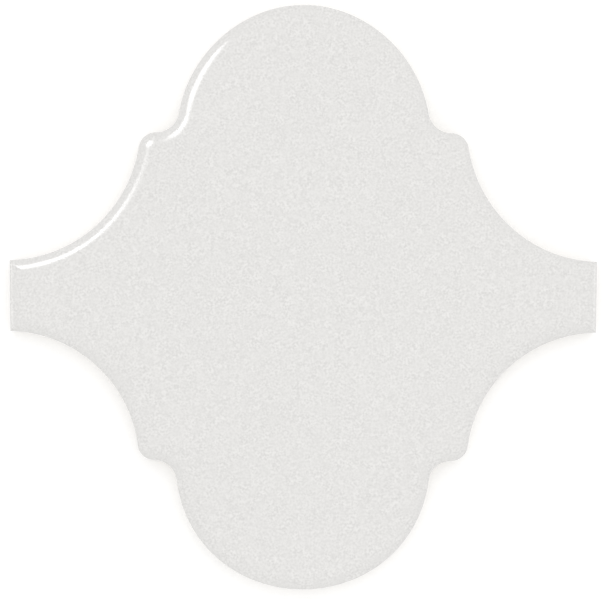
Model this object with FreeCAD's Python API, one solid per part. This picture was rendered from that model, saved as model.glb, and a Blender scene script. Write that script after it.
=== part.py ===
"""Moroccan arabesque wall tile: one pressed and fired piece of ceramic, glazed side up.

Frame: millimetres. The tile lies flat on its back in the XY plane. The origin is the middle of the back,
+Z goes up through the glazed face, +X runs across the two flat ends, +Y points to the upper lobe.

The outline is one quarter, mirrored in X and in Y. A quarter is four arcs, each tangent to the next: the
lobe, the notch beside it, the shoulder, and the long recess that runs out to the flat end.
Laid tiles nest: the lobe of a tile in the next row sits in the recess that two neighbours form, and their
shoulders sit in its notches. Half a turn about the middle of the joint between them swaps the two tiles,
so the recess and the notch are the lobe and the shoulder again, grown by the width of the joint.
"""

import math
import os

import FreeCAD
import Part
from FreeCAD import Vector

# Outline
tile_width = 120.0        # across the two flat ends
tile_height = 119.6       # across the two lobes
waist_height = 14.5       # between the recesses above and below, where two tiles meet
shoulder_radius = 3.5
grout_joint = 1.2         # gap to a neighbouring tile when laid

# Section
tile_thickness = 8.5
rim_width = 3.0           # how far in from the side the face starts to roll off
rim_drop = 1.35           # how far it has rolled down at the side
arris_radius = 0.6        # where the roll-off turns into the side
back_bevel = 0.5          # round the edge of the back

# Keying relief pressed into the back
key_margin = 7.0          # flat border that follows the outline
neck_flat = 20.0          # how far in from each flat end the back has no grooves
groove_pitch = 8.0
groove_width = 5.2        # across the mouth of a groove
groove_depth = 0.8
groove_draft = 0.35       # how far its sides and ends lean in, so that the tile leaves the press

OVERRUN = 2.0             # how far a cutting solid runs past what it cuts
UP = Vector(0, 0, 1)


class Bend:
    """One arc of the outline. A bulge has its centre on the tile's side of it, a hollow on the other side."""

    def __init__(self, centre, radius, start, end, bulges):
        self.centre = centre
        self.radius = radius
        self.start = start
        self.end = end
        self.bulges = bulges

    def edge(self):
        """The arc itself. It is less than half a turn, so its middle lies out between its two ends."""
        middle = (self.start - self.centre) + (self.end - self.centre)
        middle.Length = self.radius
        return Part.Arc(self.start, self.centre + middle, self.end).toShape()

    def mirrored(self, flip_x, flip_y):
        """The same bend in another quarter of the outline."""
        centre, start, end = [mirror_point(p, flip_x, flip_y) for p in (self.centre, self.start, self.end)]
        return Bend(centre, self.radius, start, end, self.bulges)


def mirror_point(point, flip_x, flip_y):
    return Vector(-point.x if flip_x else point.x, -point.y if flip_y else point.y, point.z)


def along(start, end, distance):
    """The point at a distance from start, on the way to end."""
    step = end - start
    step.Length = distance
    return start + step


def neck_corner():
    """The upper right corner, where the recess runs out at the flat end.

    The recess is lowest in the middle of the joint, half a joint past the flat end.
    """
    centre, radius = recess_circle()
    run = centre.x - tile_width / 2
    return Vector(tile_width / 2, centre.y - math.sqrt(radius**2 - run**2), 0)


def shoulder_centres():
    """The centres of the shoulder and of the notch above it.

    They stand one above the other, evenly about the point that the half turn swaps two tiles about: a
    quarter of the way along the row, and half of the way up to the next row.
    """
    row_pitch = (tile_height + waist_height) / 2 + grout_joint
    quarter_pitch = (tile_width + grout_joint) / 4
    rise = shoulder_radius + grout_joint / 2
    return Vector(quarter_pitch, row_pitch / 2 - rise, 0), Vector(quarter_pitch, row_pitch / 2 + rise, 0)


def recess_circle():
    """The circle that is lowest at the waist, in the middle of the joint, and touches the shoulder."""
    shoulder = shoulder_centres()[0]
    middle = (tile_width + grout_joint) / 2
    aside = middle - shoulder.x
    above = shoulder.y - waist_height / 2
    radius = (aside**2 + above**2 - shoulder_radius**2) / (2 * (above + shoulder_radius))
    return Vector(middle, waist_height / 2 + radius, 0), radius


def quarter_bends():
    """The lobe, notch, shoulder and recess of the quarter where x and y are above zero."""
    shoulder, notch = shoulder_centres()
    recess, recess_radius = recess_circle()
    lobe_radius = recess_radius - grout_joint
    lobe = Vector(0, tile_height / 2 - lobe_radius, 0)
    lobe_end = along(lobe, notch, lobe_radius)
    notch_end = along(shoulder, notch, shoulder_radius)
    shoulder_end = along(shoulder, recess, shoulder_radius)
    return [
        Bend(lobe, lobe_radius, Vector(0, tile_height / 2, 0), lobe_end, True),
        Bend(notch, shoulder_radius + grout_joint, lobe_end, notch_end, False),
        Bend(shoulder, shoulder_radius, notch_end, shoulder_end, True),
        Bend(recess, recess_radius, shoulder_end, neck_corner(), False),
    ]


def outline_bends():
    """Every arc of the outline."""
    return [
        bend.mirrored(flip_x, flip_y)
        for flip_x in (False, True)
        for flip_y in (False, True)
        for bend in quarter_bends()
    ]


def flat_ends():
    """The two straight ends, each as its lower and upper corner."""
    corner = neck_corner()
    return [
        (mirror_point(corner, flip_x, True), mirror_point(corner, flip_x, False))
        for flip_x in (False, True)
    ]


def outline_face():
    """The whole outline, filled, on the plane of the back."""
    edges = [bend.edge() for bend in outline_bends()]
    edges += [Part.makeLine(low, high) for low, high in flat_ends()]
    return Part.Face(Part.Wire(Part.__sortEdges__(edges)))


def rim_section(foot, outward, reach):
    """What the rolled rim takes off, as a face that stands square to the outline at foot.

    It runs in from the side as far as reach. A roll arc leaves the level of the face at rim_width and would
    cross the side rim_drop lower. A small arris arc, tangent to both, turns it into the side instead.
    """
    roll_radius = (rim_width**2 + rim_drop**2) / (2 * rim_drop)
    roll_height = tile_thickness - roll_radius
    across = rim_width - arris_radius
    between = roll_radius - arris_radius
    arris_height = roll_height + math.sqrt(between**2 - across**2)
    meet_angle = math.acos(across / between)
    reach_angle = math.acos((rim_width - reach) / roll_radius)

    def at(inward, height):
        return foot - outward * inward + UP * height

    def on_roll(angle):
        return at(rim_width - roll_radius * math.cos(angle), roll_height + roll_radius * math.sin(angle))

    def on_arris(angle):
        return at(arris_radius * (1 - math.cos(angle)), arris_height + arris_radius * math.sin(angle))

    clear = tile_thickness + OVERRUN
    roll = Part.Arc(on_roll(reach_angle), on_roll((reach_angle + meet_angle) / 2), on_roll(meet_angle))
    arris = Part.Arc(on_arris(meet_angle), on_arris(meet_angle / 2), on_arris(0))
    corners = [on_arris(0), at(-OVERRUN, arris_height), at(-OVERRUN, clear), at(reach, clear)]
    corners.append(on_roll(reach_angle))
    edges = [roll.toShape(), arris.toShape()]
    edges += [Part.makeLine(a, b) for a, b in zip(corners, corners[1:])]
    return Part.Face(Part.Wire(edges))


def rim_round_bend(bend):
    """The rim's section carried round a bend. A bulge tighter than the rim is wide has it to its centre."""
    start = bend.start - bend.centre
    end = rim_end(bend) - bend.centre
    outward = start * (1 if bend.bulges else -1)
    outward.normalize()
    reach = min(rim_width, bend.radius) if bend.bulges else rim_width
    turn = math.degrees(math.atan2(start.cross(end).z, start.dot(end)))
    return rim_section(bend.start, outward, reach).revolve(bend.centre, UP, turn)


def rim_end(bend):
    """Where the rim along a bend stops. At a flat end it runs on to the middle of the joint, for the mitre."""
    if abs(bend.end.x) < tile_width / 2:
        return bend.end
    return Vector(bend.centre.x, math.copysign(waist_height / 2, bend.end.y), 0)


def rim_along_end(low, high):
    """The rim's section carried along a flat end, and past both its corners, for the mitre."""
    outward = Vector(math.copysign(1, low.x), 0, 0)
    start = low - Vector(0, OVERRUN, 0)
    return rim_section(start, outward, rim_width).extrude(Vector(0, high.y - low.y + 2 * OVERRUN, 0))


def bevelled(solid, height, along_wall, inward):
    """The solid with a bevel round its flat face at that height, cut so far along the wall and inward."""
    edges = [e for e in solid.Edges if all(abs(v.Z - height) < 1e-6 for v in e.Vertexes)]
    return solid.makeChamfer(along_wall, inward, edges)


def key_grooves(face):
    """The keying grooves as solids: each strip across the back, kept to the field inside the border."""
    below = Vector(0, 0, -OVERRUN)
    field = face.makeOffset2D(-key_margin).translated(below).extrude(UP * (groove_depth + OVERRUN))
    field = bevelled(field, groove_depth, groove_depth, groove_draft)
    count = math.floor((tile_width / 2 - neck_flat) / groove_pitch)
    middles = [side * (place + 0.5) * groove_pitch for place in range(count) for side in (-1, 1)]
    return [groove_strip(middle).common(field) for middle in middles]


def groove_strip(middle):
    """One groove from lobe to lobe: upright up to the back, then leaning in to its narrower bottom."""
    half = groove_width / 2
    far = tile_height / 2
    bottom = half - groove_draft
    section = [(-half, -OVERRUN), (half, -OVERRUN), (half, 0), (bottom, groove_depth)]
    section += [(-bottom, groove_depth), (-half, 0), (-half, -OVERRUN)]
    corners = [Vector(middle + across, -far, height) for across, height in section]
    return Part.Face(Part.makePolygon(corners)).extrude(Vector(0, 2 * far, 0))


def arabesque_tile():
    """The finished tile: the blank with a bevelled back, the rolled rim and the keying grooves."""
    face = outline_face()
    blank = bevelled(face.extrude(UP * tile_thickness), 0, back_bevel, back_bevel)
    rims = [rim_round_bend(bend) for bend in outline_bends()]
    rims += [rim_along_end(low, high) for low, high in flat_ends()]
    return blank.cut(rims).cut(key_grooves(face))


os.makedirs("parts", exist_ok=True)
arabesque_tile().exportStep("parts/arabesque_tile.step")
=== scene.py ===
"""Looks of one glazed arabesque wall tile, lying face up, seen squarely from above.

The tile is one closed mesh, worked out on grids. Going round the outline there is a fixed number of
stations. Going in from the outline, down the side or across the back there are rings and rows of them.
All sizes are in metres.
"""

import math

import bpy
import numpy as np
from mathutils import Euler, Matrix, Vector


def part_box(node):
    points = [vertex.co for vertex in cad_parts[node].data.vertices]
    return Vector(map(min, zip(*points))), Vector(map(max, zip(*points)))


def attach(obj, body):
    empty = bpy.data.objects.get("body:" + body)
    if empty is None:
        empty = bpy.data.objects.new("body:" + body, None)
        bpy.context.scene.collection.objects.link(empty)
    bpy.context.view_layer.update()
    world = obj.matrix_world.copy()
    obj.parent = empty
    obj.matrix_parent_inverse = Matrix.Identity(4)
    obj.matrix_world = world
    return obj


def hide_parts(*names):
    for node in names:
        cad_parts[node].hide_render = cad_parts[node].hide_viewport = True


MM = 0.001
UP = math.pi / 2             # angle in plan from +X to +Y
DOWN = 1.5 * math.pi         # angle in plan from +X to -Y
LOBE, NOTCH, SHOULDER, RECESS = range(4)  # arcs of a quarter of the outline, in their order

# Outline, as the solid has it
WAIST_HEIGHT = 14.5 * MM
SHOULDER_RADIUS = 3.5 * MM
GROUT_JOINT = 1.2 * MM

# Section, as the solid has it
RIM_WIDTH = 3.0 * MM
RIM_DROP = 1.35 * MM
ARRIS_RADIUS = 0.6 * MM
BACK_BEVEL = 0.5 * MM

# Keying grooves, as the solid has them
KEY_MARGIN = 7.0 * MM
NECK_FLAT = 20.0 * MM
GROOVE_PITCH = 8.0 * MM
GROOVE_WIDTH = 5.2 * MM
GROOVE_DEPTH = 0.8 * MM
GROOVE_DRAFT = 0.35 * MM

# Shape of the glaze
GLAZE_LIP = 0.12 * MM        # how far the glaze stands out from the bare clay of the side
LIP_MIDDLE = 0.3             # share of the lip's depth at the middle of its rounded edge
GLAZE_EDGE = 3.4 * MM        # mean height where the glaze ends on the side
GLAZE_WANDER = 0.55 * MM     # how far that line wanders up and down
EDGE_WAVES = (               # of that line: whole turns, size and start of each
    (5, 0.55, 0.20),
    (11, 0.40, 0.70),
    (19, 0.28, 0.10),
    (31, 0.20, 0.45),
    (47, 0.14, 0.85),
    (83, 0.08, 0.3),
)
GLAZE_SWELL = 0.018 * MM     # slow unevenness of the fired face
SWELL_WAVES = (              # of the face: length, heading, start and size of each
    (41 * MM, 0.4, 0.10, 1.0),
    (33 * MM, 1.9, 0.55, 0.9),
    (24 * MM, 1.1, 0.30, 0.7),
    (19 * MM, 2.7, 0.80, 0.5),
    (14 * MM, 0.1, 0.45, 0.35),
    (11 * MM, 2.2, 0.05, 0.25),
)

# Firing, which leaves the tile a little off its true plan
UPPER_NARROWING = 0.0547     # share by which the upper tip is drawn in across, and the lower one spread
SHOULDER_SPREAD = 0.0137     # share that goes the other way, and holds nearer the middle
TIP_SAG = 0.167 * MM         # how far both tips lie low, set against the flat ends

# Fineness of the mesh
STATIONS = (88, 24, 24, 92)  # along the lobe, notch, shoulder and recess of a quarter
END_STEPS = 56               # along a flat end, and so across the face and the back
BORDER_STEPS = 9             # of those, across the back's border on each side
LEAST_STEP = 0.06 * MM       # kept between a station and a groove's edge
ROLL_STEPS = 11
ARRIS_STEPS = 5
GLAZED_SIDE_RINGS = (0.25, 0.5, 0.75)  # shares of the way from the rim down to the glaze's lip
BARE_SIDE_RINGS = (0.35, 0.7)          # shares of the way from the lip down to the bevel

# Noise in the finishes
NOISE_ROUGHNESS = 0.55
NOISE_RANGE = (0.3, 0.7)     # what a mottle spreads over the values that it is given

# Finish of the glaze
GLAZE_COLOUR = (0.785, 0.776, 0.760)
GLAZE_IOR = 1.5
GLAZE_ROUGHNESS = (0.02, 0.035)
ROUGHNESS_PATCH = 3 * MM
GRAIN_SIZE = 0.44 * MM
GRAIN_STRENGTH = 0.095       # how far it lightens and darkens the glaze where it is strongest
GRAIN_PATCH = 2.2 * MM       # size of the patches where it is stronger or weaker
GRAIN_WEAKEST = 0.45
CLOUD_SIZE = 14 * MM
CLOUD_TONE = (0.997, 1.003)
# Painted shade: a slightly darker line in the glaze's colour along the rim's outer edge
EDGE_SHADE_REACH = 0.14            # share of the rim's width, from its outer edge, over which the glaze is given painted shade
EDGE_SHADE_TONE = 0.995
PEEL_SIZE = 1.6 * MM
PEEL_DEPTH = 0.0018 * MM

# Finish of the bare clay
CLAY_COLOUR = (0.70, 0.645, 0.56)
CLAY_ROUGHNESS = 0.88
SAND_SIZE = 0.35 * MM
SAND_TONE = (0.93, 1.05)
STAIN_SIZE = 22 * MM
STAIN_TONE = (0.95, 1.03)
PIT_SIZE = 0.30 * MM
PIT_DEPTH = 0.05 * MM

# Floor
FLOOR_RADIUS = 3.0
FLOOR_GAP = 0.02 * MM        # keeps the floor clear of the tile's back
FLOOR_TUCK = 0.1 * MM        # how far the floor reaches in under the tile
FLOOR_COLOUR = (0.82, 0.82, 0.82, 1)
FLOOR_GLOW = 0.32

# Even light
WHITE = (1, 1, 1, 1)
WORLD_STRENGTH = 0.92

# Large soft lamp
SOFT_LAMP_PLACE = (0.1, 0.4, 1.4)
SOFT_LAMP_SIZE = (0.9, 0.9)
SOFT_LAMP_RADIANCE = 0.85

# Small low cards that lighten the rims of the two flat ends
END_CARD_AWAY = 75.0 * MM
END_CARD_HEIGHT = 9.8 * MM
END_CARD_SIZE = (18.0 * MM, 5.0 * MM)
END_CARD_RADIANCE = 1.3

# Lamp that glints in the rim
RIM_LAMP_HEADING = math.radians(136.3)
RIM_LAMP_AWAY = 160.0 * MM
RIM_LAMP_HEIGHT = 105.0 * MM
RIM_LAMP_LEAN = math.radians(20.0)
RIM_LAMP_SIZE = (234.0 * MM, 94.0 * MM)
RIM_LAMP_SPREAD = math.radians(150.0)
RIM_LAMP_FADE = 0.465        # share of the lamp's radius over which it fades out
RIM_LAMP_RADIANCE = 11.0

# Photograph's frame, in its own pixels
FRAME_WIDTH = 609
FRAME_HEIGHT = 600
TILE_MIDDLE = (303.2, 296.75)
TILE_PIXELS = 587.4          # across the two flat ends
TILE_TURN = 0.0031           # clockwise, in radians
CAMERA_DISTANCE = 1.0        # over the face
CAMERA_REACH = 20.0


class Plan:
    """The outline in plan: a quarter of four arcs, mirrored in X and in Y, and two straight ends.

    Laid tiles nest, so the recess and the notch are the lobe and the shoulder again, grown by the joint. The
    notch's and the shoulder's centres stand one above the other, a quarter of the tiles' pitch out. The
    recess's circle is lowest at the waist, in the middle of the joint, and touches the shoulder's.

    Each arc has a centre, a radius, a side (1 where it bulges, -1 where it is hollow) and a first and last
    angle. At an inset d the radius is the arc's own less side times d, so every ring is a true offset.
    """

    def __init__(self, width, height):
        self.half_width = width / 2
        self.height = height
        pitch = (height + WAIST_HEIGHT) / 2 + GROUT_JOINT
        quarter = (width + GROUT_JOINT) / 4
        rise = SHOULDER_RADIUS + GROUT_JOINT / 2
        shoulder = np.array([quarter, pitch / 2 - rise])
        notch = np.array([quarter, pitch / 2 + rise])
        above = shoulder[1] - WAIST_HEIGHT / 2
        radius = (quarter**2 + above**2 - SHOULDER_RADIUS**2) / (2 * (above + SHOULDER_RADIUS))
        recess = np.array([2 * quarter, WAIST_HEIGHT / 2 + radius])
        lobe_radius = radius - GROUT_JOINT
        lobe = np.array([0.0, height / 2 - lobe_radius])
        lobe_end = math.atan2(*(notch - lobe)[::-1])
        shoulder_end = math.atan2(*(recess - shoulder)[::-1])
        self.centre = np.array([lobe, notch, shoulder, recess])
        self.radius = np.array([lobe_radius, SHOULDER_RADIUS + GROUT_JOINT, SHOULDER_RADIUS, radius])
        self.side = np.array([1.0, -1.0, 1.0, -1.0])
        self.first = np.array([UP, lobe_end + math.pi, UP, shoulder_end + math.pi])
        self.last = np.array([lobe_end, DOWN, shoulder_end, DOWN])
        self.lay_stations()

    def recess_end(self, inset):
        """The angle at which the recess's ring meets the flat end's: where x is the half width less inset."""
        past = self.centre[RECESS, 0] - (self.half_width - inset)
        return DOWN - np.arcsin(past / (self.radius[RECESS] + inset))

    def last_angle(self, arc, inset):
        """The angle at which each arc ends: the recess's at the flat end's ring, any other's as it stands."""
        return np.where(arc == RECESS, self.recess_end(inset), self.last[arc])

    def arc_points(self, arc, share, inset):
        """Points at a share of each arc's turn, on the ring at that inset: centre + r (cos a, sin a)."""
        angle = self.first[arc] + share * (self.last_angle(arc, inset) - self.first[arc])
        radius = self.radius[arc] - self.side[arc] * inset
        x = self.centre[arc, 0] + radius * np.cos(angle)
        y = self.centre[arc, 1] + radius * np.sin(angle)
        return x, y

    def lay_stations(self):
        """The stations of a quarter, from the lobe's top to the corner, then of the whole ring.

        Even shares of each arc, and one more wherever a groove's edge runs out to the outline, so that the
        back's columns follow the grooves. The ring goes up the right end, over the top, down the left end
        and back under the bottom.
        """
        arcs = [np.full(count, number) for number, count in enumerate(STATIONS)]
        shares = [np.arange(count) / count for count in STATIONS]
        edge_arc, edge_share = self.groove_stations()
        arc = np.concatenate(arcs + [edge_arc])
        share = np.concatenate(shares + [edge_share])
        is_edge = np.arange(len(arc)) >= sum(STATIONS)
        x = self.arc_points(arc, share, BACK_BEVEL)[0]
        gap = np.abs(x[:, None] - x[is_edge][None, :]).min(1)
        keep = is_edge | (gap > LEAST_STEP) | (share == 0)
        arc, share = arc[keep], share[keep]
        order = np.lexsort((share, arc))
        arc = np.append(arc[order], RECESS)
        share = np.append(share[order], 1.0)
        self.columns = 2 * (len(arc) - 1)
        up = slice(None, None, -1)
        self.arc = np.concatenate([arc[up], arc[1:]])
        self.share = np.concatenate([share[up], share[1:]])
        self.flip = np.concatenate([np.ones(len(arc)), -np.ones(len(arc) - 1)])
        self.even = np.linspace(-1, 1, END_STEPS + 1)

    def groove_stations(self):
        """Arc and share at which x, on the back's ring, is a groove's mouth edge or bottom edge.

        The angle is the arc cosine of x, less the centre's x, over the ring's radius. In a hollow it is a
        whole turn less that.
        """
        x = groove_edges(self.half_width)
        start = self.arc_points(np.arange(len(STATIONS)), 0.0, BACK_BEVEL)[0]
        arc = np.searchsorted(start, x, side="right") - 1
        radius = self.radius[arc] - self.side[arc] * BACK_BEVEL
        turn = np.arccos((x - self.centre[arc, 0]) / radius)
        angle = np.where(self.side[arc] > 0, turn, 2 * math.pi - turn)
        whole = self.last_angle(arc, BACK_BEVEL) - self.first[arc]
        return arc, (angle - self.first[arc]) / whole

    def ring(self, inset):
        """Plan positions of the whole ring's stations. inset is one value, or one for each station.

        A flat end's stations keep their shares of the end, which grows shorter as the ring goes in.
        """
        count = 2 * (self.columns + END_STEPS)
        inset = np.broadcast_to(np.asarray(inset, float), np.shape(inset)[:-1] + (count,))
        ends, tops = END_STEPS, self.columns
        right = inset[..., :ends]
        top = inset[..., ends:ends + tops]
        left = inset[..., ends + tops:2 * ends + tops]
        bottom = inset[..., 2 * ends + tops:]
        top_x, top_y = self.arc_points(self.arc[:-1], self.share[:-1], top)
        low_x, low_y = self.arc_points(self.arc[:-1], self.share[:-1], bottom)
        corner_right = self.corner_height(right)
        corner_left = self.corner_height(left)
        x = [self.half_width - right, self.flip[:-1] * top_x, left - self.half_width, -self.flip[:-1] * low_x]
        y = [self.even[:-1] * corner_right, top_y, -self.even[:-1] * corner_left, -low_y]
        return np.stack([np.concatenate(x, -1), np.concatenate(y, -1)], -1)

    def corner_height(self, inset):
        """Half of the flat end's height on the ring at that inset: y where the recess's ring ends."""
        return self.centre[RECESS, 1] + (self.radius[RECESS] + inset) * np.sin(self.recess_end(inset))

    def field_height(self, x, inset):
        """Height of the offset outline over x, for insets past the shoulder's radius.

        The lobe's circle up to where it meets the notch's, then the lower of the notch's and the recess's.
        On a circle, y is the centre's y plus or less the root of r squared less x squared, x from the centre.
        """
        x = np.abs(x)
        lobe_radius = self.radius[LOBE] - inset
        lobe = self.centre[LOBE, 1] + np.sqrt(np.maximum(lobe_radius**2 - x**2, 0))
        hollows = []
        for arc in (NOTCH, RECESS):
            under = (self.radius[arc] + inset) ** 2 - (x - self.centre[arc, 0]) ** 2
            low = self.centre[arc, 1] - np.sqrt(np.maximum(under, 0))
            hollows.append(np.where(under > 0, low, np.inf))
        return np.where(x < lobe_radius * math.cos(self.last[LOBE]), lobe, np.minimum(*hollows))


def groove_middles(half_width):
    """x of the middles of the grooves on the right: half a pitch, then a pitch apart, short of the neck."""
    count = math.floor((half_width - NECK_FLAT) / GROOVE_PITCH)
    return (np.arange(count) + 0.5) * GROOVE_PITCH


def groove_edges(half_width):
    """x of the mouth edges and bottom edges of the grooves on the right, in order.

    A mouth edge lies half the width from the groove's middle, and a bottom edge that less the draft.
    """
    middles = groove_middles(half_width)
    mouth = GROOVE_WIDTH / 2
    bottom = mouth - GROOVE_DRAFT
    return (middles[:, None] + np.array([-mouth, -bottom, bottom, mouth])).ravel()


def ring_lengths(points):
    """Distance run along a ring up to each station, as a share of the whole way round."""
    steps = np.linalg.norm(np.roll(points, -1, 0) - points, axis=1)
    return np.concatenate([[0], np.cumsum(steps)[:-1]]) / steps.sum()


def wander(share, waves):
    """A sum of sines that closes on itself: size times the sine of share times turns plus start, in turns."""
    return sum(size * np.sin(2 * math.pi * (turns * share + start)) for turns, size, start in waves)


def swell(x, y):
    """Slow unevenness of the fired glaze: a sum of plane waves.

    Each is its size times the sine of the way along its heading over its length, plus its start, in turns.
    """
    height = 0
    for length, heading, start, size in SWELL_WAVES:
        along = x * math.cos(heading) + y * math.sin(heading)
        height = height + size * np.sin(2 * math.pi * (along / length + start))
    return GLAZE_SWELL * height


def fire(points, height):
    """Plan positions after the firing. t runs from -1 at the lower tip to 1 at the upper one.

    x grows by the share spread times t less narrowing times t cubed. y falls by the sag times t squared,
    less half of the sag, so that the tips go down by half of it and the flat ends go up by half.
    """
    t = points[..., 1] / (height / 2)
    fired = points.copy()
    fired[..., 0] *= 1 + SHOULDER_SPREAD * t - UPPER_NARROWING * t**3
    fired[..., 1] -= TIP_SAG * (t**2 - 0.5)
    return fired


def roll_profile(thickness):
    """Inset and height down the rolled rim: the roll's arc from the face, then the arris's arc to the side.

    The roll leaves the face level and would fall by the drop over the rim's width, so its radius is width
    squared plus drop squared, over twice the drop. The arris touches it from inside, and the side.
    """
    roll_radius = (RIM_WIDTH**2 + RIM_DROP**2) / (2 * RIM_DROP)
    across = RIM_WIDTH - ARRIS_RADIUS
    between = roll_radius - ARRIS_RADIUS
    roll_height = thickness - roll_radius
    arris_height = roll_height + math.sqrt(between**2 - across**2)
    meet = math.acos(across / between)
    roll = np.linspace(math.pi / 2, meet, ROLL_STEPS)
    arris = np.linspace(meet, 0, ARRIS_STEPS + 1)[1:]
    inset = np.append(RIM_WIDTH - roll_radius * np.cos(roll), ARRIS_RADIUS * (1 - np.cos(arris)))
    height = np.append(roll_height + roll_radius * np.sin(roll), arris_height + ARRIS_RADIUS * np.sin(arris))
    return inset, height


def band_rings(plan, thickness):
    """Tables of inset, height and glaze cover of every ring, from the face's edge down to the back's.

    Each row is a ring and each column a station. The glaze ends on the side along a wandering line, in a
    small rounded lip, and the bare clay under it stands back by the lip's depth.
    """
    inset, height = roll_profile(thickness)
    rim_foot = height[-1]
    share = ring_lengths(plan.ring(0.0))
    edge = GLAZE_EDGE + GLAZE_WANDER * wander(share, EDGE_WAVES)
    ones = np.ones_like(share)
    rings = [(i * ones, h * ones, ones) for i, h in zip(inset, height)]
    for part in GLAZED_SIDE_RINGS:
        rings.append((0 * ones, rim_foot + part * (edge + GLAZE_LIP - rim_foot), ones))
    rings.append((0 * ones, edge + GLAZE_LIP, ones))
    rings.append((LIP_MIDDLE * GLAZE_LIP * ones, edge + LIP_MIDDLE * GLAZE_LIP, ones))
    rings.append((GLAZE_LIP * ones, edge, 0 * ones))
    for part in BARE_SIDE_RINGS:
        rings.append((GLAZE_LIP * ones, edge + part * (BACK_BEVEL - edge), 0 * ones))
    rings.append((GLAZE_LIP * ones, BACK_BEVEL * ones, 0 * ones))
    rings.append((BACK_BEVEL * ones, 0 * ones, 0 * ones))
    return [np.stack(column) for column in zip(*rings)]


def patch_indices(plan, ring_start, inner_start):
    """Vertex numbers of a patch that fills a ring: columns from left to right, rows from bottom to top.

    Its border is the ring itself, and its inside is numbered column by column from inner_start.
    """
    columns, rows = plan.columns, END_STEPS
    count = 2 * (columns + rows)
    station = ring_start + np.arange(count)
    index = np.empty((columns + 1, rows + 1), int)
    index[columns, :rows] = station[:rows]
    index[1:, rows] = station[rows:rows + columns][::-1]
    index[0, 1:] = station[rows + columns:2 * rows + columns][::-1]
    index[:columns, 0] = station[2 * rows + columns:]
    inner = np.arange((columns - 1) * (rows - 1)).reshape(columns - 1, rows - 1)
    index[1:columns, 1:rows] = inner_start + inner
    return index


def quads(index):
    """The four corners of every cell of a grid of vertex numbers, counterclockwise."""
    cells = np.stack([index[:-1, :-1], index[1:, :-1], index[1:, 1:], index[:-1, 1:]], -1)
    return cells.reshape(-1, 4)


def upper_row(plan, inset):
    """The upper side of the ring at that inset, from left to right: x and height over the middle line."""
    ring = plan.ring(inset)
    upper = ring[END_STEPS:END_STEPS + plan.columns + 1][::-1]
    return upper[:, 0], upper[:, 1]


def face_points(plan, thickness):
    """Inside of the face: x of each column, y an even share of the column's height, z the swelling glaze."""
    x, top = upper_row(plan, RIM_WIDTH)
    y = top[1:-1, None] * plan.even[None, 1:-1]
    x = np.broadcast_to(x[1:-1, None], y.shape)
    return np.stack([x, y, thickness + swell(x, y)], -1).reshape(-1, 3)


def back_points(plan):
    """Inside of the back: rows that keep to the grooves' ends, and heights that sink into the grooves.

    A column has an even border, then the groove's sloping end, then its bottom. Past the last groove the
    rows even out towards the flat end. Depth grows from a groove's mouth edge in, over the draft, both
    across the groove and from its end, and the lesser of the two holds.
    """
    x, top = upper_row(plan, BACK_BEVEL)
    x, top = x[1:-1], top[1:-1]
    reach = groove_edges(plan.half_width)[-1]
    held = np.clip(x, -reach, reach)
    whole = np.interp(held, x, top)
    mouth = plan.field_height(held, KEY_MARGIN) / whole
    bottom = plan.field_height(held, KEY_MARGIN + GROOVE_DRAFT) / whole
    border = np.linspace(0, 1, BORDER_STEPS + 1)[:-1]
    inner = np.linspace(0, 1, END_STEPS - 2 * BORDER_STEPS - 1)
    low = -1 + border[None, :] * (1 - mouth[:, None])
    floor = bottom[:, None] * (2 * inner[None, :] - 1)
    rows = np.concatenate([low, -mouth[:, None], floor, mouth[:, None], -low[:, ::-1]], 1)
    past = np.clip((np.abs(x) - reach) / (plan.half_width - reach), 0, 1)[:, None]
    rows = (1 - past) * rows + past * plan.even[None, :]
    y = top[:, None] * rows
    middles = groove_middles(plan.half_width)
    across = (GROOVE_WIDTH / 2 - np.abs(np.abs(x)[:, None] - middles[None, :])).max(1)[:, None]
    depth_share = np.zeros_like(rows)
    depth_share[:, BORDER_STEPS + 1:-BORDER_STEPS - 1] = 1
    depth = GROOVE_DEPTH * np.minimum(np.clip(across / GROOVE_DRAFT, 0, 1), depth_share)
    x = np.broadcast_to(x[:, None], y.shape)
    return np.stack([x, y, depth], -1)[:, 1:-1].reshape(-1, 3)


def make_tile(plan, thickness):
    """The whole fired tile: the face's patch, the band down the rim and side, and the back's patch.

    The face's swell fades out over the rim, by inset over the rim's width, and ends with the glaze.
    """
    inset, height, cover = band_rings(plan, thickness)
    ring = plan.ring(inset)
    height = height + cover * inset / RIM_WIDTH * swell(ring[..., 0], ring[..., 1])
    band = np.concatenate([ring, height[..., None]], -1)
    ring_count, station_count = height.shape
    face = face_points(plan, thickness)
    back = back_points(plan)
    points = fire(np.concatenate([band.reshape(-1, 3), face, back]), plan.height)

    number = np.arange(ring_count * station_count).reshape(ring_count, station_count)
    around = np.concatenate([number, number[:, :1]], 1)
    face_start = ring_count * station_count
    face_index = patch_indices(plan, 0, face_start)
    back_index = patch_indices(plan, (ring_count - 1) * station_count, face_start + len(face))
    faces = np.concatenate([quads(around), quads(face_index), quads(back_index)[:, ::-1]])

    covers = np.concatenate([cover.ravel(), np.ones(len(face)), np.zeros(len(back))])
    insets = np.concatenate([inset.ravel(), np.full(len(face), RIM_WIDTH), np.full(len(back), RIM_WIDTH)])
    mesh = mesh_of_quads("fired_tile", points, faces)
    add_values(mesh, "glaze_cover", covers)
    add_values(mesh, "rim_inset", insets / RIM_WIDTH)
    tile = bpy.data.objects.new("fired_tile", mesh)
    bpy.context.scene.collection.objects.link(tile)
    return tile


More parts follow.
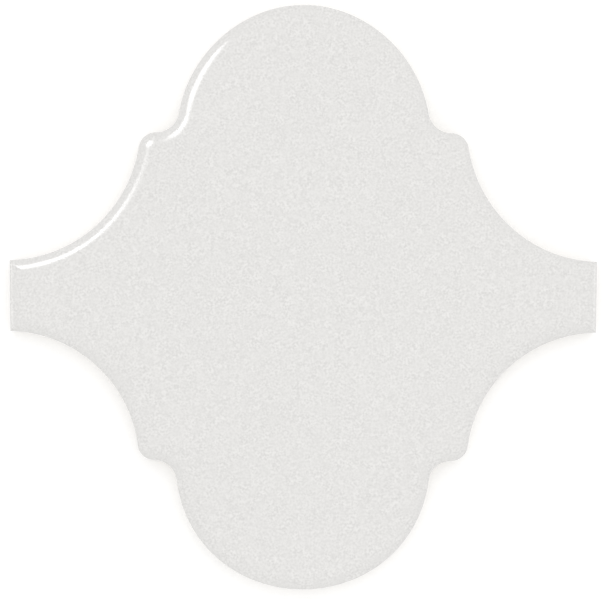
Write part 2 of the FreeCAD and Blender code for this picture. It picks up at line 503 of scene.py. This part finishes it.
def mesh_of_quads(name, points, faces):
    """A smooth mesh with these points and four-cornered faces, written as whole arrays."""
    mesh = bpy.data.meshes.new(name)
    mesh.vertices.add(len(points))
    mesh.vertices.foreach_set("co", points.astype(np.float32).ravel())
    mesh.loops.add(faces.size)
    mesh.loops.foreach_set("vertex_index", faces.astype(np.int32).ravel())
    mesh.polygons.add(len(faces))
    mesh.polygons.foreach_set("loop_start", np.arange(0, faces.size, 4, dtype=np.int32))
    mesh.polygons.foreach_set("use_smooth", np.ones(len(faces), bool))
    mesh.update(calc_edges=True)
    mesh.validate()
    return mesh


def add_values(mesh, name, values):
    attribute = mesh.attributes.new(name, "FLOAT", "POINT")
    attribute.data.foreach_set("value", values.astype(np.float32))


def new_material(name):
    material = bpy.data.materials.new(name)
    material.use_nodes = True
    material.node_tree.nodes.clear()
    return material, material.node_tree


def add_node(tree, kind, settings=None, **inputs):
    """A node with its settings and its inputs, where an input is a value or another node's output.

    An input's name is written with _ for a space, or as in_0 and so on where the names repeat.
    """
    node = tree.nodes.new(kind)
    for key, value in (settings or {}).items():
        setattr(node, key, value)
    for key, value in inputs.items():
        socket = node.inputs[int(key[3:])] if key.startswith("in_") else node.inputs[key.replace("_", " ")]
        if isinstance(value, bpy.types.NodeSocket):
            tree.links.new(value, socket)
        else:
            socket.default_value = value
    return node


def mottle(tree, place, size, low, high, detail=2.0):
    """Noise of a given grain size, spread between two values."""
    noise = add_node(tree, "ShaderNodeTexNoise", Vector=place, Scale=1 / size, Detail=detail,
                     Roughness=NOISE_ROUGHNESS)
    spread = add_node(tree, "ShaderNodeMapRange", Value=noise.outputs["Fac"], From_Min=NOISE_RANGE[0],
                      From_Max=NOISE_RANGE[1], To_Min=low, To_Max=high)
    return spread.outputs["Result"]


def math_of(tree, operation, first, second):
    node = add_node(tree, "ShaderNodeMath", {"operation": operation}, in_0=first, in_1=second)
    return node.outputs[0]


def blend_colour(tree, share, first, second):
    node = add_node(tree, "ShaderNodeMix", {"data_type": "RGBA"}, in_0=share, in_6=first, in_7=second)
    return node.outputs[2]


def blend_value(tree, share, first, second):
    node = add_node(tree, "ShaderNodeMix", {"data_type": "FLOAT"}, in_0=share, in_2=first, in_3=second)
    return node.outputs[0]


def scaled_colour(tree, colour, factor):
    node = add_node(tree, "ShaderNodeVectorMath", {"operation": "SCALE"}, in_0=colour, Scale=factor)
    return node.outputs[0]


def glaze_and_clay():
    """White gloss glaze where glaze_cover is 1, bare fired clay where it is 0.

    The glaze has a fine grain, stronger in some patches than in others, has painted shade that makes it a
    little darker at the rim's outer edge, and is faintly uneven. The clay is a matt warm white with sandy
    grain and small pits.
    """
    material, tree = new_material("white_glaze_on_fired_clay")
    place = add_node(tree, "ShaderNodeTexCoord").outputs["Object"]
    cover = add_node(tree, "ShaderNodeAttribute", {"attribute_name": "glaze_cover"}).outputs["Fac"]
    rim = add_node(tree, "ShaderNodeAttribute", {"attribute_name": "rim_inset"}).outputs["Fac"]

    strength = mottle(tree, place, GRAIN_PATCH, GRAIN_WEAKEST, 1.0, detail=0.0)
    speckle = mottle(tree, place, GRAIN_SIZE, -GRAIN_STRENGTH, GRAIN_STRENGTH, detail=0.8)
    grain = math_of(tree, "ADD", math_of(tree, "MULTIPLY", speckle, strength), 1.0)
    cloud = mottle(tree, place, CLOUD_SIZE, *CLOUD_TONE)
    # Painted shade: the glaze's colour is made a little darker towards the rim's outer edge
    edge_shade = add_node(tree, "ShaderNodeMapRange", {"interpolation_type": "SMOOTHSTEP"}, Value=rim,
                    From_Min=0.0, From_Max=EDGE_SHADE_REACH, To_Min=EDGE_SHADE_TONE, To_Max=1.0).outputs["Result"]
    tone = math_of(tree, "MULTIPLY", math_of(tree, "MULTIPLY", grain, cloud), edge_shade)
    glaze = scaled_colour(tree, GLAZE_COLOUR, tone)

    sand = mottle(tree, place, SAND_SIZE, *SAND_TONE, detail=3.0)
    stain = mottle(tree, place, STAIN_SIZE, *STAIN_TONE)
    clay = scaled_colour(tree, CLAY_COLOUR, math_of(tree, "MULTIPLY", sand, stain))
    colour = blend_colour(tree, cover, clay, glaze)

    glaze_roughness = mottle(tree, place, ROUGHNESS_PATCH, *GLAZE_ROUGHNESS)
    roughness = blend_value(tree, cover, CLAY_ROUGHNESS, glaze_roughness)

    peel = mottle(tree, place, PEEL_SIZE, 0.0, 1.0)
    glaze_bump = add_node(tree, "ShaderNodeBump", Height=math_of(tree, "MULTIPLY", peel, cover),
                          Distance=PEEL_DEPTH, Strength=1.0)
    bare = math_of(tree, "SUBTRACT", 1.0, cover)
    pits = math_of(tree, "MULTIPLY", mottle(tree, place, PIT_SIZE, 0.0, 1.0, detail=4.0), bare)
    bump = add_node(tree, "ShaderNodeBump", Height=pits, Distance=PIT_DEPTH, Strength=1.0,
                    Normal=glaze_bump.outputs["Normal"])

    shader = add_node(tree, "ShaderNodeBsdfPrincipled", Base_Color=colour, Roughness=roughness,
                      Normal=bump.outputs["Normal"], IOR=GLAZE_IOR)
    add_node(tree, "ShaderNodeOutputMaterial", Surface=shader.outputs["BSDF"])
    return material


def seen_directly(tree):
    """1 for what the camera sees, straight, in a gloss or through glass."""
    path = add_node(tree, "ShaderNodeLightPath").outputs
    mirrored = math_of(tree, "MAXIMUM", path["Is Glossy Ray"], path["Is Transmission Ray"])
    return math_of(tree, "MAXIMUM", path["Is Camera Ray"], mirrored)


def pale_floor():
    """White floor that takes the tile's shadow. To the eye and in gloss it also glows a little, up to white.

    From beneath it is clear.
    """
    material, tree = new_material("white_studio_floor")
    matt = add_node(tree, "ShaderNodeBsdfDiffuse", Color=FLOOR_COLOUR)
    glow = add_node(tree, "ShaderNodeEmission", Color=WHITE,
                    Strength=math_of(tree, "MULTIPLY", seen_directly(tree), FLOOR_GLOW))
    both = add_node(tree, "ShaderNodeAddShader", in_0=matt.outputs[0], in_1=glow.outputs[0])
    beneath = add_node(tree, "ShaderNodeNewGeometry").outputs["Backfacing"]
    clear = add_node(tree, "ShaderNodeBsdfTransparent")
    sides = add_node(tree, "ShaderNodeMixShader", in_0=beneath, in_1=both.outputs[0], in_2=clear.outputs[0])
    add_node(tree, "ShaderNodeOutputMaterial", Surface=sides.outputs[0])
    return material


def make_floor(plan):
    """A wide round floor, from the line on which the tile rests outwards, and open under the tile.

    Each spoke runs from a station of the tile's back edge straight away from the middle.
    """
    edge = fire(plan.ring(BACK_BEVEL + FLOOR_TUCK), plan.height)
    far = FLOOR_RADIUS * edge / np.linalg.norm(edge, axis=1, keepdims=True)
    plane = np.concatenate([edge, far])
    points = np.column_stack([plane, np.full(len(plane), -FLOOR_GAP)])
    number = np.arange(len(edge))
    spokes = np.column_stack([number, number + len(edge)])
    mesh = mesh_of_quads("studio_floor", points, quads(np.concatenate([spokes, spokes[:1]]).T))
    mesh.materials.append(pale_floor())
    floor = bpy.data.objects.new("studio_floor", mesh)
    bpy.context.scene.collection.objects.link(floor)


def light_world():
    """Even light from all round, which looks white wherever it is seen."""
    world = bpy.data.worlds.new("studio")
    bpy.context.scene.world = world
    world.use_nodes = True
    tree = world.node_tree
    tree.nodes.clear()
    plain = add_node(tree, "ShaderNodeBackground", Color=WHITE, Strength=WORLD_STRENGTH)
    white = add_node(tree, "ShaderNodeBackground", Color=WHITE, Strength=1.0)
    mixed = add_node(tree, "ShaderNodeMixShader", in_0=seen_directly(tree), in_1=plain.outputs[0],
                     in_2=white.outputs[0])
    add_node(tree, "ShaderNodeOutputWorld", Surface=mixed.outputs[0])


def make_lamp(name, shape, centre, size, turn, radiance, spread=math.pi):
    """A flat lamp, turned as told, which gives as much light in all as an open one of that radiance.

    Its power is pi times radiance times area, and an ellipse has pi / 4 of its rectangle's area. A spread
    narrower than half a turn keeps its light from leaving at a low angle to the lamp's face.
    """
    lamp = bpy.data.lights.new(name, "AREA")
    lamp.shape = shape
    lamp.size, lamp.size_y = size
    lamp.spread = spread
    lamp.energy = radiance * math.pi * size[0] * size[1]
    if shape == "ELLIPSE":
        lamp.energy *= math.pi / 4
    holder = bpy.data.objects.new(name, lamp)
    holder.matrix_world = Matrix.Translation(centre) @ turn.to_matrix().to_4x4()
    bpy.context.scene.collection.objects.link(holder)
    holder.visible_camera = False
    return holder


def fade_out(lamp, share):
    """The oval lamp is full in its middle and fades smoothly to nothing over that share of its radius.

    The lamp's own coordinates run from 0 to 1 both ways, so its middle is at 0.5 and its radius is 0.5.
    """
    lamp.use_nodes = True
    tree = lamp.node_tree
    tree.nodes.clear()
    place = add_node(tree, "ShaderNodeNewGeometry").outputs["Parametric"]
    radius = add_node(tree, "ShaderNodeVectorMath", {"operation": "DISTANCE"}, in_0=place,
                      in_1=(0.5, 0.5, 0.0))
    full = add_node(tree, "ShaderNodeMapRange", {"interpolation_type": "SMOOTHSTEP"},
                    Value=radius.outputs["Value"], From_Min=0.5 * (1 - share), From_Max=0.5,
                    To_Min=1.0, To_Max=0.0)
    light = add_node(tree, "ShaderNodeEmission", Color=WHITE, Strength=full.outputs["Result"])
    add_node(tree, "ShaderNodeOutputLight", Surface=light.outputs["Emission"])


def light_studio():
    """Even light, one large soft lamp for shape, a small card beyond each flat end and an oval lamp close by.

    Seen from above, only the rims mirror the cards and the oval lamp. The cards stand low beyond the ends.
    The oval lamp stands off the tile's upper left and leans away from it, and its limited spread fades it
    out towards the rim's outer edge, and in the face when that is seen at a low angle.
    """
    light_world()
    above = Vector(SOFT_LAMP_PLACE)
    soft = make_lamp("soft_key", "RECTANGLE", above, SOFT_LAMP_SIZE, above.to_track_quat("Z", "Y"),
                     SOFT_LAMP_RADIANCE)
    soft.visible_glossy = False
    for name, side in (("left_end_card", -1), ("right_end_card", 1)):
        beyond = Vector((side * END_CARD_AWAY, 0, END_CARD_HEIGHT))
        upright = Euler((math.pi / 2, 0, side * math.pi / 2)).to_quaternion()
        card = make_lamp(name, "RECTANGLE", beyond, END_CARD_SIZE, upright, END_CARD_RADIANCE)
        card.visible_diffuse = False
    centre = Vector((RIM_LAMP_AWAY * math.cos(RIM_LAMP_HEADING), RIM_LAMP_AWAY * math.sin(RIM_LAMP_HEADING),
                     RIM_LAMP_HEIGHT))
    turn = Euler((0, -RIM_LAMP_LEAN, RIM_LAMP_HEADING)).to_quaternion()
    oval = make_lamp("rim_lamp", "ELLIPSE", centre, RIM_LAMP_SIZE, turn, RIM_LAMP_RADIANCE, RIM_LAMP_SPREAD)
    oval.visible_diffuse = False
    fade_out(oval.data, RIM_LAMP_FADE)


def make_camera(low, high):
    """Looks straight down, set so that the tile has its size, place and turn in the photograph."""
    scale = (high.x - low.x) / TILE_PIXELS
    data = bpy.data.cameras.new("camera")
    data.sensor_fit = "HORIZONTAL"
    data.lens = data.sensor_width * CAMERA_DISTANCE / (FRAME_WIDTH * scale)
    data.clip_end = CAMERA_REACH
    camera = bpy.data.objects.new("camera", data)
    turn = Matrix.Rotation(TILE_TURN, 4, "Z")
    aside = (FRAME_WIDTH / 2 - TILE_MIDDLE[0]) * scale
    above = (TILE_MIDDLE[1] - FRAME_HEIGHT / 2) * scale
    camera.matrix_world = turn @ Matrix.Translation((aside, above, high.z + CAMERA_DISTANCE))
    bpy.context.scene.collection.objects.link(camera)
    bpy.context.scene.camera = camera


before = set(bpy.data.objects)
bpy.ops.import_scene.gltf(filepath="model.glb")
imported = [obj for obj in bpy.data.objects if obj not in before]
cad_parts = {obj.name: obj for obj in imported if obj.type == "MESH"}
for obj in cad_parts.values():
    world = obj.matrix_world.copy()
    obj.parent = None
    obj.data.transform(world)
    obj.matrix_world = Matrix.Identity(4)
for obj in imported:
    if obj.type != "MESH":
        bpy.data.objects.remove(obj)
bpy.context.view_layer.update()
tile_low, tile_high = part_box("arabesque_tile")

plan = Plan(tile_high.x - tile_low.x, tile_high.y - tile_low.y)
tile = make_tile(plan, tile_high.z - tile_low.z)
tile.data.materials.append(glaze_and_clay())
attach(tile, "root")
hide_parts("arabesque_tile")

make_floor(plan)
light_studio()
make_camera(tile_low, tile_high)
bpy.context.scene.view_settings.view_transform = "Standard"
